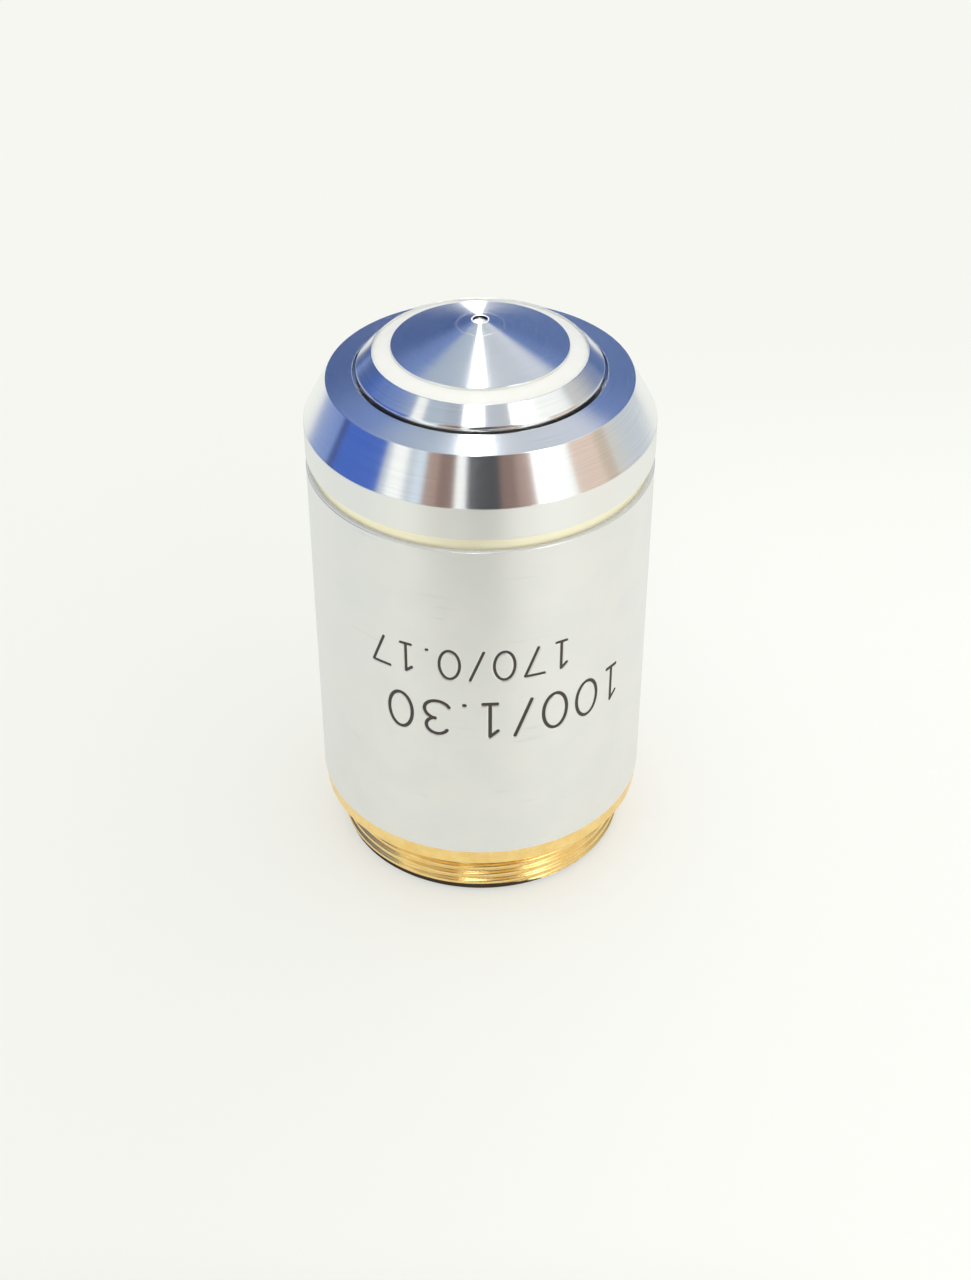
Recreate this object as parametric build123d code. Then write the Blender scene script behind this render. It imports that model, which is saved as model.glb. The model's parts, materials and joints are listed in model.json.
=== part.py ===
from build123d import *
import os
from collections import namedtuple
from math import radians, sqrt, tan

# A sprung oil-immersion microscope objective, in millimetres.
# It stands on its rear thread: Z runs up the optical axis and Z = 0 is the rear face.

# Rear thread and mounting shoulder
thread_radius = 10.16
thread_length = 3.13
thread_chamfer = 0.4
relief_width = 0.7
relief_depth = 0.6
thread_wall = 1.56
shoulder_setback = 0.13
shoulder_height = 1.15

# Barrel, from the rear bore to the neck that carries the nose ring
barrel_wall = 1.4
neck_step = 0.4
rear_bore_depth = 5.5
guide_length = 10.5
spring_space = 1.65

# Outer sleeve, and the pale ring that it is clamped by
sleeve_wall = 0.68
sleeve_length = 25.16
sleeve_fit = 0.05
groove_width = 0.86
groove_depth = 0.3

# Nose ring: band, polished cone, sloping front face and the lip that stops the nosepiece
band_height = 2.27
cone_height = 2.85
face_width = 1.74
face_rise = 0.43
lip_thickness = 1.25
neck_clearance = 1.1

# Nosepiece: flange, cylinder, shoulder chamfer and cone
nose_step = 0.3
nose_gap = 0.2
nose_proud = 0.28
nose_shoulder_height = 1.04
nose_shoulder_width = 1.0
cone_angle = 18.26
tip_radius = 0.56
flange_thickness = 1.6
slide_clearance = 0.05
corner_radius = 0.3
edge_break = 0.08

# White enamel ring let into the cone
enamel_width = 1.28
band_rim = 0.06
band_depth = 0.25

# Front lens and its cell
aperture_radius = 0.45
tip_lip = 0.11
front_lens_radius = 0.85
front_lens_thickness = 1.0
front_dome_radius = 0.9
front_cell_radius = 1.5
front_collar_radius = 2.1
front_collar_height = 0.4
front_cell_length = 1.7

# Lens tube, its key slot and the shim that sets the focus height
cell_bore_radius = 5.6
spigot_wall = 1.25
spigot_step = 0.8
tube_wall = 1.25
tube_clearance = 0.3
skirt_length = 3.6
shim_thickness = 0.3
seat_gap = 0.05
travel = 2.2

# Lens cells
cell_fit = 0.05
lens_fit = 0.02
seat_width = 0.4
meniscus_nose_radius = 3.35
meniscus_nose_length = 1.55
meniscus_flange_length = 1.4
middle_cell_length = 3.9
spacer_length = 2.0
spacer_wall = 0.95
rear_cell_length = 4.4
stop_thickness = 0.3
stop_radius = 3.3
lock_ring_length = 1.8
lock_ring_wall = 1.25

# Lenses: edge radius, curves and centre thicknesses
meniscus_edge_radius = 2.2
meniscus_thickness = 1.25
meniscus_front_curve = 6.0
meniscus_rear_curve = 3.2
meniscus_setback = 0.6
middle_edge_radius = 3.3
middle_front_curve = 9.0
middle_inner_curve = 7.0
middle_rear_curve = 20.0
middle_crown_thickness = 1.7
middle_flint_thickness = 0.9
middle_setback = 0.3
rear_edge_radius = 4.0
rear_front_curve = 11.0
rear_inner_curve = 8.5
rear_rear_curve = 25.0
rear_crown_thickness = 1.9
rear_flint_thickness = 1.0
rear_setback = 0.4

# Rear ring
rear_ring_inset = 0.9
rear_ring_height = 2.2
rear_ring_wall = 1.65
spanner_slot_width = 1.0
spanner_slot_depth = 0.7

# Guide screw
screw_setback = 3.0
screw_radius = 0.9
screw_head_radius = 1.35
screw_head_height = 0.85
screw_head_sink = 0.25
dog_radius = 0.7
dog_reach = 1.0
slot_clearance = 0.05
slot_end_clearance = 0.25
driver_slot_width = 0.3
driver_slot_depth = 0.35
hole_fit = 0.02
cut_over = 1.0

# Return spring
wire_radius = 0.35
active_turns = 5
coil_gap = 0.04
wire_sides = 8

# Radii of the sliding unit, built outwards from the bore that holds the lens cells
cell_radius = cell_bore_radius - cell_fit
spigot_radius = cell_bore_radius + spigot_wall
tube_radius = spigot_radius + spigot_step
baffle_bore_radius = tube_radius - tube_wall
nose_radius = tube_radius + nose_step
cone_edge_radius = nose_radius - nose_shoulder_width
band_inner_radius = cone_edge_radius - enamel_width

# Radii of the barrel and what surrounds it, built outwards from the sliding unit
guide_radius = tube_radius + slide_clearance
chamber_radius = tube_radius + spring_space
flange_radius = chamber_radius - slide_clearance
spring_radius = (tube_radius + chamber_radius) / 2
barrel_radius = chamber_radius + barrel_wall
neck_radius = barrel_radius - neck_step
sleeve_inner_radius = barrel_radius + sleeve_fit
sleeve_radius = sleeve_inner_radius + sleeve_wall
shoulder_radius = sleeve_radius - shoulder_setback
lip_radius = nose_radius + nose_gap
face_outer_radius = lip_radius + face_width
rear_bore_radius = thread_radius - thread_wall
rear_ring_radius = rear_bore_radius - slide_clearance

# Heights of the barrel and its rings, from the rear face upwards
relief_base = thread_length
shoulder_base = relief_base + relief_width
sleeve_base = shoulder_base + shoulder_height
sleeve_top = sleeve_base + sleeve_length
band_base = sleeve_top + groove_width
cone_base = band_base + band_height
face_base = cone_base + cone_height
face_top = face_base + face_rise
lip_base = face_top - lip_thickness
neck_top = lip_base - neck_clearance
chamber_base = rear_bore_depth + guide_length

# Heights of the nosepiece at rest, with its flange against the lip
flange_base = lip_base - flange_thickness
nose_top = face_top + nose_proud
cone_edge = nose_top + nose_shoulder_height
cone_slope = tan(radians(cone_angle))
tip_top = cone_edge + (cone_edge_radius - tip_radius) * cone_slope
skirt_base = flange_base - skirt_length
tube_shoulder = skirt_base - shim_thickness

# Heights of the front lens and of the cell stack, from the tip downwards
front_glass_top = tip_top - tip_lip
front_cell_base = tip_top - front_cell_length
meniscus_top = front_cell_base - seat_gap
meniscus_seat = meniscus_top - meniscus_nose_length
middle_top = meniscus_seat - meniscus_flange_length
spacer_top = middle_top - middle_cell_length
rear_top = spacer_top - spacer_length
stop_top = rear_top - rear_cell_length
lock_top = stop_top - stop_thickness
lock_base = lock_top - lock_ring_length
tube_top = middle_top - seat_gap
tube_base = rear_bore_depth + travel + tube_clearance
screw_height = tube_base + screw_setback

Glass = namedtuple("Glass", "edge top top_curve bottom bottom_curve")


def cone_height_at(radius):
    """Height of the nosepiece's cone at a radius."""
    return cone_edge + (cone_edge_radius - radius) * cone_slope


def sag(curve, radius):
    """How far a lens surface has fallen from its middle at a radius; a hollow curve is negative."""
    if curve is None:
        return 0.0
    drop = abs(curve) - sqrt(curve * curve - radius * radius)
    return drop if curve > 0 else -drop


def top_of(glass, radius):
    """Height of a lens's upper surface at a radius."""
    return glass.top - sag(glass.top_curve, radius)


def bottom_of(glass, radius):
    """Height of a lens's lower surface at a radius."""
    return glass.bottom + sag(glass.bottom_curve, radius)


def section(outline):
    """A flat face in the plane of the axis, from edges drawn as (radius, height)."""
    return Plane.XZ * make_face(outline)


def turned(corners, rounds=()):
    """A solid turned about the axis from (radius, height) corners; rounds lists (corner, radius) fillets."""
    face = make_face(Polyline(corners, close=True))
    for corner, radius in rounds:
        spot = Vector(*corner)
        face = fillet(face.vertices().sort_by_distance(spot)[0], radius)
    return revolve(Plane.XZ * face, Axis.Z)


def ring(outer, inner, base, top, outer_break=0.0):
    """A plain turned ring, with its two outer edges broken if a size is given."""
    if not outer_break:
        return turned([(inner, base), (outer, base), (outer, top), (inner, top)])
    low_edge = [(outer - outer_break, base), (outer, base + outer_break)]
    high_edge = [(outer, top - outer_break), (outer - outer_break, top)]
    return turned([(inner, base), *low_edge, *high_edge, (inner, top)])


def surface_edge(start, height_at, end):
    """One lens surface as an edge through three of its points, straight where the surface is flat."""
    middle = (start + end) / 2
    points = [(r, height_at(r)) for r in (start, middle, end)]
    if points[0][1] == points[2][1]:
        return Line(points[0], points[2])
    return ThreePointArc(*points)


def lens(glass):
    """A lens turned from its two surfaces and its ground edge."""
    top_edge = top_of(glass, glass.edge)
    bottom_edge = bottom_of(glass, glass.edge)
    outline = surface_edge(0, lambda r: top_of(glass, r), glass.edge)
    outline += Line((glass.edge, top_edge), (glass.edge, bottom_edge))
    outline += surface_edge(glass.edge, lambda r: bottom_of(glass, r), 0)
    outline += Line((0, glass.bottom), (0, glass.top))
    return revolve(section(outline), Axis.Z)


def seat_below(glass):
    """Height of the seat that carries a lens from below, touching it at the seat's inner edge or rim."""
    return min(bottom_of(glass, glass.edge - seat_width), bottom_of(glass, glass.edge))


def lens_cell(glass, base, top):
    """A turned cell whose inner seat carries a lens; the bore opens out again below the seat."""
    seat = seat_below(glass)
    clear = glass.edge - seat_width
    flare = (cell_radius + clear) / 2
    corners = [(cell_radius, base), (cell_radius, top), (glass.edge + lens_fit, top)]
    corners += [(glass.edge + lens_fit, seat), (clear, seat), (clear, (seat + base) / 2), (flare, base)]
    return turned(corners)


def slotted(solid, base, outer, inner):
    """A ring with a pair of spanner slots across its lower face."""
    bar = Box(spanner_slot_width, 2 * (outer + cut_over), 2 * spanner_slot_depth)
    return solid - Pos(0, 0, base) * (bar - Cylinder(inner - spanner_slot_depth, 3 * spanner_slot_depth))


def radial(solid, height):
    """Lay a solid that was drawn upwards along Z out along Y, at a height on the barrel."""
    return Pos(0, 0, height) * Rot(-90, 0, 0) * solid


def upright_cylinder(radius, base, top):
    """A cylinder from one height to another."""
    return Pos(0, 0, base) * Cylinder(radius, top - base, align=(Align.CENTER, Align.CENTER, Align.MIN))


def barrel():
    """Brass barrel: thread, relief, shoulder, sleeve seat and neck outside; bore, guide and chamber inside."""
    relief_radius = thread_radius - relief_depth
    outside = [
        (thread_radius - thread_chamfer, 0),
        (thread_radius, thread_chamfer),
        (thread_radius, relief_base),
        (relief_radius, relief_base + relief_width / 3),
        (relief_radius, shoulder_base),
        (shoulder_radius - edge_break, shoulder_base),
        (shoulder_radius, shoulder_base + edge_break),
        (shoulder_radius, sleeve_base),
        (barrel_radius, sleeve_base),
        (barrel_radius, band_base),
        (neck_radius, band_base),
        (neck_radius, neck_top - edge_break),
        (neck_radius - edge_break, neck_top),
    ]
    inside = [
        (chamber_radius, neck_top),
        (chamber_radius, chamber_base),
        (guide_radius, chamber_base),
        (guide_radius, rear_bore_depth),
        (rear_bore_radius, rear_bore_depth),
        (rear_bore_radius, 0),
    ]
    head_seat = barrel_radius - screw_head_sink - screw_head_height
    hole = upright_cylinder(screw_radius + hole_fit, 0, barrel_radius)
    hole += upright_cylinder(screw_head_radius + hole_fit, head_seat, barrel_radius + cut_over)
    return turned(outside + inside) - radial(hole, screw_height)


def outer_sleeve():
    """Satin sleeve, slipped over the barrel and standing on its shoulder."""
    return ring(sleeve_radius, sleeve_inner_radius, sleeve_base, sleeve_top, edge_break)


def groove_ring():
    """Pale brass ring between the sleeve and the nose ring, a little smaller than both."""
    return ring(sleeve_radius - groove_depth, sleeve_inner_radius, sleeve_top, band_base)


def nose_ring():
    """Front ring, screwed on the barrel's neck: band, polished cone, front face and stop lip."""
    neck_bore = neck_radius + sleeve_fit
    chamber = chamber_radius + sleeve_fit
    corners = [
        (neck_bore, band_base),
        (sleeve_radius - edge_break, band_base),
        (sleeve_radius, band_base + edge_break),
        (sleeve_radius, cone_base),
        (face_outer_radius, face_base),
        (lip_radius, face_top),
        (lip_radius, lip_base),
        (chamber, lip_base),
        (chamber, neck_top + sleeve_fit),
        (neck_bore, neck_top + sleeve_fit),
    ]
    rounds = [((sleeve_radius, cone_base), edge_break), ((face_outer_radius, face_base), edge_break)]
    return turned(corners, rounds)


def nosepiece():
    """Sliding front housing: skirt, stop flange, cylinder, shoulder chamfer and cone, bored for the cells."""
    skirt_bore = spigot_radius + cell_fit
    front_bore = meniscus_nose_radius + cell_fit
    collar_top = front_cell_base + front_collar_height + lens_fit
    cell_hole = front_cell_radius
    groove_outer = cone_edge_radius - band_rim
    outside = [
        (tube_radius, skirt_base),
        (tube_radius, flange_base),
        (flange_radius, flange_base),
        (flange_radius, lip_base),
        (nose_radius, lip_base),
        (nose_radius, nose_top),
        (cone_edge_radius, cone_edge),
        (groove_outer, cone_height_at(groove_outer)),
        (groove_outer, cone_height_at(groove_outer) - band_depth),
        (band_inner_radius, cone_height_at(band_inner_radius) - band_depth),
        (band_inner_radius, cone_height_at(band_inner_radius)),
        (cell_hole, cone_height_at(cell_hole)),
    ]
    inside = [
        (cell_hole, collar_top),
        (front_collar_radius + lens_fit, collar_top),
        (front_collar_radius + lens_fit, meniscus_top),
        (front_bore, meniscus_top),
        (front_bore, meniscus_seat),
        (cell_bore_radius, meniscus_seat),
        (cell_bore_radius, middle_top),
        (skirt_bore, middle_top),
        (skirt_bore, skirt_base),
    ]
    return turned(outside + inside, [((nose_radius, nose_top), corner_radius)])


def white_band():
    """White enamel that fills the groove in the cone, flush with it."""
    outer = cone_edge_radius - band_rim
    corners = [
        (band_inner_radius, cone_height_at(band_inner_radius) - band_depth),
        (outer, cone_height_at(outer) - band_depth),
        (outer, cone_height_at(outer)),
        (band_inner_radius, cone_height_at(band_inner_radius)),
    ]
    return turned(corners)


def front_cell():
    """Tiny cup that carries the front lens and finishes the cone at the tip."""
    body = front_cell_radius - lens_fit
    collar_top = front_cell_base + front_collar_height
    bore = front_lens_radius + lens_fit
    corners = [
        (bore, front_cell_base),
        (front_collar_radius, front_cell_base),
        (front_collar_radius, collar_top),
        (body, collar_top),
        (body, cone_height_at(body)),
        (tip_radius, tip_top),
        (aperture_radius, tip_top),
        (aperture_radius, front_glass_top),
        (bore, front_glass_top),
    ]
    return turned(corners)


def meniscus_cell(glass):
    """Stepped cell: a narrow nose up behind the front cell, and a flange against the nosepiece's seat."""
    seat = seat_below(glass)
    clear = glass.edge - seat_width
    corners = [
        (meniscus_nose_radius, meniscus_top),
        (glass.edge + lens_fit, meniscus_top),
        (glass.edge + lens_fit, seat),
        (clear, seat),
        (clear, meniscus_seat),
        (middle_edge_radius, middle_top),
        (cell_radius, middle_top),
        (cell_radius, meniscus_seat),
        (meniscus_nose_radius, meniscus_seat),
    ]
    return turned(corners)


def lens_tube():
    """Sliding tube: spigot in the nosepiece, shoulder on the shim, guide surface and key slot below."""
    corners = [
        (baffle_bore_radius, tube_base),
        (tube_radius - edge_break, tube_base),
        (tube_radius, tube_base + edge_break),
        (tube_radius, tube_shoulder),
        (spigot_radius, tube_shoulder),
        (spigot_radius, tube_top),
        (cell_bore_radius, tube_top),
        (cell_bore_radius, lock_base - seat_gap),
        (baffle_bore_radius, lock_base - seat_gap),
    ]
    half_width = dog_radius + slot_clearance
    slot = Rot(0, 0, 90) * SlotCenterToCenter(travel + 2 * slot_end_clearance, 2 * half_width)
    cutter = extrude(slot, tube_radius + cut_over)
    middle = screw_height + travel / 2
    return turned(corners) - radial(cutter, middle)


def lock_ring():
    """Threaded ring with two spanner slots that clamps the cell stack."""
    inner = cell_radius - lock_ring_wall
    return slotted(ring(cell_radius, inner, lock_base, lock_top), lock_base, cell_radius, inner)


def rear_ring():
    """Blackened ring with two spanner slots, screwed into the rear bore round the light path."""
    inner = rear_ring_radius - rear_ring_wall
    base = rear_ring_inset
    solid = ring(rear_ring_radius, inner, base, base + rear_ring_height)
    return slotted(solid, base, rear_ring_radius, inner)


def guide_screw():
    """Slotted screw through the barrel wall; its dog point runs in the lens tube's key slot."""
    head_top = barrel_radius - screw_head_sink
    head_base = head_top - screw_head_height
    solid = upright_cylinder(dog_radius, guide_radius - dog_reach, guide_radius)
    solid += upright_cylinder(screw_radius, guide_radius, head_base)
    solid += upright_cylinder(screw_head_radius, head_base, head_top)
    driver_slot = Box(driver_slot_width, 3 * screw_head_radius, 2 * driver_slot_depth)
    return radial(solid - Pos(0, 0, head_top) * driver_slot, screw_height)


def return_spring():
    """Compression spring with closed, ground ends, between the chamber floor and the flange."""
    length = flange_base - chamber_base
    closed_rise = 2 * wire_radius + coil_gap
    open_rise = length - 2 * closed_rise
    coils = [(closed_rise, closed_rise), (open_rise / active_turns, open_rise), (closed_rise, closed_rise)]
    edges = []
    height = 0
    for pitch, rise in coils:
        edges += (Pos(0, 0, height) * Helix(pitch, rise, spring_radius)).edges()
        height += rise
    path = Wire(edges)
    wire_end = Plane(origin=path @ 0, z_dir=path % 0) * RegularPolygon(wire_radius, wire_sides)
    wound = sweep(wire_end, path=path, is_frenet=True)
    return Pos(0, 0, chamber_base) * (wound & upright_cylinder(chamber_radius, 0, length))


front_glass = Glass(
    front_lens_radius, front_glass_top, None, front_glass_top - front_lens_thickness, front_dome_radius
)
meniscus_glass_top = meniscus_top - meniscus_setback
meniscus_glass = Glass(
    meniscus_edge_radius,
    meniscus_glass_top,
    -meniscus_front_curve,
    meniscus_glass_top - meniscus_thickness,
    meniscus_rear_curve,
)


def doublet(edge, top, curves, thicknesses):
    """The crown and the flint of a cemented doublet, which share their inner surface."""
    outer_curve, inner_curve, last_curve = curves
    crown_thickness, flint_thickness = thicknesses
    joint = top - crown_thickness
    crown = Glass(edge, top, outer_curve, joint, inner_curve)
    flint = Glass(edge, joint, -inner_curve, joint - flint_thickness, -last_curve)
    return crown, flint


middle_crown, middle_flint = doublet(
    middle_edge_radius,
    middle_top - middle_setback,
    (middle_front_curve, middle_inner_curve, middle_rear_curve),
    (middle_crown_thickness, middle_flint_thickness),
)
rear_crown, rear_flint = doublet(
    rear_edge_radius,
    rear_top - rear_setback,
    (rear_front_curve, rear_inner_curve, rear_rear_curve),
    (rear_crown_thickness, rear_flint_thickness),
)

nodes = {
    "barrel": barrel(),
    "outer_sleeve": outer_sleeve(),
    "groove_ring": groove_ring(),
    "nose_ring": nose_ring(),
    "rear_ring": rear_ring(),
    "guide_screw": guide_screw(),
    "return_spring": return_spring(),
    "nosepiece": nosepiece(),
    "white_band": white_band(),
    "front_cell": front_cell(),
    "front_lens": lens(front_glass),
    "meniscus_cell": meniscus_cell(meniscus_glass),
    "meniscus_lens": lens(meniscus_glass),
    "middle_cell": lens_cell(middle_flint, spacer_top, middle_top),
    "middle_crown": lens(middle_crown),
    "middle_flint": lens(middle_flint),
    "cell_spacer": ring(cell_radius, cell_radius - spacer_wall, rear_top, spacer_top),
    "rear_cell": lens_cell(rear_flint, stop_top, rear_top),
    "rear_crown": lens(rear_crown),
    "rear_flint": lens(rear_flint),
    "aperture_stop": ring(cell_radius, stop_radius, lock_top, stop_top),
    "cell_lock_ring": lock_ring(),
    "lens_tube": lens_tube(),
    "parfocal_shim": ring(tube_radius, spigot_radius + cell_fit, tube_shoulder, skirt_base),
}

os.makedirs("parts", exist_ok=True)
for name, solid in nodes.items():
    export_step(solid, f"parts/{name}.step")
print("tip at", round(tip_top, 3), "shoulder at", round(shoulder_base, 3), "lip at", round(lip_base, 3))
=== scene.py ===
# %% [markdown]
# The object is a sprung oil-immersion microscope objective, standing on its rear thread with its
# front lens up. Nearly every piece of the real one comes off a lathe, so this lesson turns most of
# them again in Blender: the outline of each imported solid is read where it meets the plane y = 0,
# its sharp corners get the small broken edges that a turner leaves, and the outline is spun round
# the optical axis with enough steps to stay round in a close view.

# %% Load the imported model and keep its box
import json
import math

import bpy
import numpy as np
from mathutils import Matrix, Vector

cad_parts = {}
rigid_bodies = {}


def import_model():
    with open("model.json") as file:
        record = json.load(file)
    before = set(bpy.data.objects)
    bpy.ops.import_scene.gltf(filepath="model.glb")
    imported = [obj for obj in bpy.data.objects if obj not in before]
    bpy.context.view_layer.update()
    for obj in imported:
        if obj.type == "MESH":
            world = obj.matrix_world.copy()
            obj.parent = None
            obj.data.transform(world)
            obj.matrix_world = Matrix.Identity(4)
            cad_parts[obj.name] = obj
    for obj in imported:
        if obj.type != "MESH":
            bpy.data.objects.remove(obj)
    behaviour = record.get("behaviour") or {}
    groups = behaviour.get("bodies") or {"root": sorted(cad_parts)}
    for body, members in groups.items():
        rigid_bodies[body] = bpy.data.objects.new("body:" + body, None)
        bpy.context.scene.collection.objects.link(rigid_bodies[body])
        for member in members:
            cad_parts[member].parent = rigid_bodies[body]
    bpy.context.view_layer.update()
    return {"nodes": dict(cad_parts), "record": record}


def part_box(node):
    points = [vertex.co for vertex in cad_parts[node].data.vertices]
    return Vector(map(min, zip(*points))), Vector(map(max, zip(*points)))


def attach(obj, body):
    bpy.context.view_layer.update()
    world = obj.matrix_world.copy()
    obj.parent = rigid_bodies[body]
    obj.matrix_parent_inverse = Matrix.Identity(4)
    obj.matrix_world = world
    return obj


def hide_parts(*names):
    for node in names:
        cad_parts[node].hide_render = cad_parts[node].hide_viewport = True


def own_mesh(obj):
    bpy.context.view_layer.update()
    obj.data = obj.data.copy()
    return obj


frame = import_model()
MM = 0.001
nodes = frame["nodes"]
nodes_of_body = frame["record"]["behaviour"]["bodies"]
body_of_node = {node: body for body, members in nodes_of_body.items() for node in members}
print("pieces on each body:", {body: len(members) for body, members in nodes_of_body.items()})

# %% [markdown]
# The camera stands in front of the object, 109 mm from its axis and 98 mm up, and looks down on it
# by 37 degrees, as the photograph does. It is placed first, because every later choice is judged
# through it. The lens follows from the picture's height of 1280 points and a focal length of 1941
# points, on a sensor that is 36 mm high.

# %% Camera
camera_distance = 108.6 * MM
camera_height = 97.8 * MM
look_down = math.radians(37.42)
look_aside = math.radians(0.14)
camera_roll = math.radians(0.10)
picture_height = 1280
focal_points = 1941
sensor_height = 36.0

camera_data = bpy.data.cameras.new("camera")
camera_data.sensor_fit = "VERTICAL"
camera_data.sensor_height = sensor_height
camera_data.lens = focal_points / picture_height * sensor_height
camera_data.clip_start = 0.005
camera_data.clip_end = 10.0
camera = bpy.data.objects.new("camera", camera_data)
bpy.context.scene.collection.objects.link(camera)
turn_up = Matrix.Rotation(math.pi / 2 - look_down, 4, "X")
turn_aside = Matrix.Rotation(-look_aside, 4, "Y")
turn_over = Matrix.Rotation(-camera_roll, 4, "Z")
stand = Matrix.Translation((0, -camera_distance, camera_height))
camera.matrix_world = stand @ turn_up @ turn_aside @ turn_over
bpy.context.scene.camera = camera
print("lens in millimetres:", round(camera_data.lens, 2))

# %% [markdown]
# A finish is a small sum of patterns, and it reads best as a sum. The class below wraps a shader
# socket, so that two patterns can be added or multiplied with Python's own signs, and each sign adds
# one Math node. Any other node comes from `add_node`, which takes the node's type, its settings and
# the values or links of its sockets, in that order.

# %% Shader sums
class Pattern:
    """A number that varies over a surface: the output socket of a node, with Python's sums."""

    def __init__(self, tree, socket):
        self.tree = tree
        self.socket = socket

    def sum_with(self, operation, first, second=0.0):
        """The Math node for one operation on two patterns or numbers."""
        return add_node(self.tree, "ShaderNodeMath", {"operation": operation}, {0: first, 1: second})

    def __add__(self, other):
        return self.sum_with("ADD", self, other)

    def __radd__(self, other):
        return self.sum_with("ADD", other, self)

    def __sub__(self, other):
        return self.sum_with("SUBTRACT", self, other)

    def __rsub__(self, other):
        return self.sum_with("SUBTRACT", other, self)

    def __mul__(self, other):
        return self.sum_with("MULTIPLY", self, other)

    def __rmul__(self, other):
        return self.sum_with("MULTIPLY", other, self)

    def __truediv__(self, other):
        return self.sum_with("DIVIDE", self, other)

    def __pow__(self, other):
        return self.sum_with("POWER", self, other)


def add_node(tree, kind, settings=None, sockets=None, output=0):
    """Add a node, set it up, fill or link its sockets, and give back one of its outputs."""
    node = tree.nodes.new(kind)
    for name, value in (settings or {}).items():
        setattr(node, name, value)
    for name, value in (sockets or {}).items():
        if isinstance(value, Pattern):
            tree.links.new(value.socket, node.inputs[name])
        else:
            node.inputs[name].default_value = value
    return Pattern(tree, node.outputs[output])


def ramp(pattern, low, high, start=0.0, end=1.0):
    """A smooth step: start where the pattern is low, end where it is high."""
    sockets = {"Value": pattern, "From Min": low, "From Max": high, "To Min": start, "To Max": end}
    return add_node(pattern.tree, "ShaderNodeMapRange", {"interpolation_type": "SMOOTHSTEP"}, sockets)


def blend_colours(amount, first, second):
    """A mix of two colours: the first where the amount is 0, the second where it is 1."""
    node = amount.tree.nodes.new("ShaderNodeMix")
    node.data_type = "RGBA"
    factor, first_colour, second_colour = node.inputs[0], node.inputs[6], node.inputs[7]
    amount.tree.links.new(amount.socket, factor)
    for socket, colour in ((first_colour, first), (second_colour, second)):
        if isinstance(colour, Pattern):
            amount.tree.links.new(colour.socket, socket)
        else:
            socket.default_value = (*colour, 1.0)
    return Pattern(amount.tree, node.outputs[2])


def linear(red, green, blue):
    """The light that a screen colour from 0 to 255 stands for, by the usual curve of screens."""
    shares = np.array([red, green, blue]) / 255
    curve = np.where(shares > 0.04045, ((shares + 0.055) / 1.055) ** 2.4, shares / 12.92)
    return tuple(float(c) for c in curve)


print("a mid grey of 128 stands for", round(linear(128, 128, 128)[0], 3), "of full light")

# %% [markdown]
# The light is a plain pale room. Paint and paper see only its even white, so a colour renders about
# as it is written. Polished plating shows the room itself: a cool blue wall behind the object, a
# bright narrow lamp that runs over it from back to front, and pale and dark uprights on the side
# where the camera stands. The compass angle of a ray is 0 towards the camera and grows to the right.

# %% World
world = bpy.data.worlds.new("studio")
bpy.context.scene.world = world
world.use_nodes = True
world.node_tree.nodes.clear()
sky = world.node_tree

ray = add_node(sky, "ShaderNodeTexCoord", output="Generated")
split_ray = sky.nodes.new("ShaderNodeSeparateXYZ")
sky.links.new(ray.socket, split_ray.inputs[0])
ray_x, ray_y, ray_z = (Pattern(sky, split_ray.outputs[i]) for i in range(3))
degrees = 180 / math.pi
compass = ray_x.sum_with("ARCTAN2", ray_x, 0 - ray_y) * degrees
height = ray_z.sum_with("ARCSINE", ray_z) * degrees


def window(value, low, high, soft):
    """1 between two limits and 0 outside them, with edges that are soft by so many degrees."""
    rise = ramp(value, low - soft / 2, low + soft / 2)
    fall = ramp(value, high - soft / 2, high + soft / 2, 1.0, 0.0)
    return rise * fall


# %% [markdown]
# The room's colours are written as they look on a screen. The windows and the lamp are brighter than
# a screen's white, so they are written as amounts of light instead.

# %% Colours of the room
haze = linear(196, 204, 214)
ceiling_left = linear(170, 182, 197)
ceiling_right = linear(194, 200, 209)
low_blue_left = linear(74, 96, 148)
low_blue_right = linear(90, 113, 163)
high_blue = linear(112, 136, 190)
deep_blue = linear(60, 98, 190)
skirting_blue = linear(128, 150, 202)
navy = linear(56, 72, 120)
warm_brown = linear(136, 112, 104)
light_brown = linear(170, 144, 134)
dark_grey = linear(70, 70, 74)
peach = linear(226, 202, 186)
cream = linear(208, 206, 200)
cool_grey = linear(198, 205, 212)
cool_white = linear(214, 227, 238)
bright_haze = linear(210, 214, 224)
beige = linear(200, 184, 166)
window_white = (1.02, 1.03, 1.0)
sun_white = (4.5, 4.5, 4.4)
lamp_white = (2.6, 2.6, 2.6)
lamp_core = (8.0, 8.0, 8.0)
even_white = (1.0, 1.0, 0.985, 1.0)
floor_white = linear(246, 247, 241)
print("the lamp's core gives", lamp_core[0], "times the light of a white sheet")

# %% [markdown]
# The mirrored room is painted in layers, and each layer covers the ones before it: first the haze and
# the ceiling, then the panels, each a range of compass angle and height with soft edges. The walls,
# the leaning window on the left and the lamp follow, because they don't keep to plain ranges.

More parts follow.
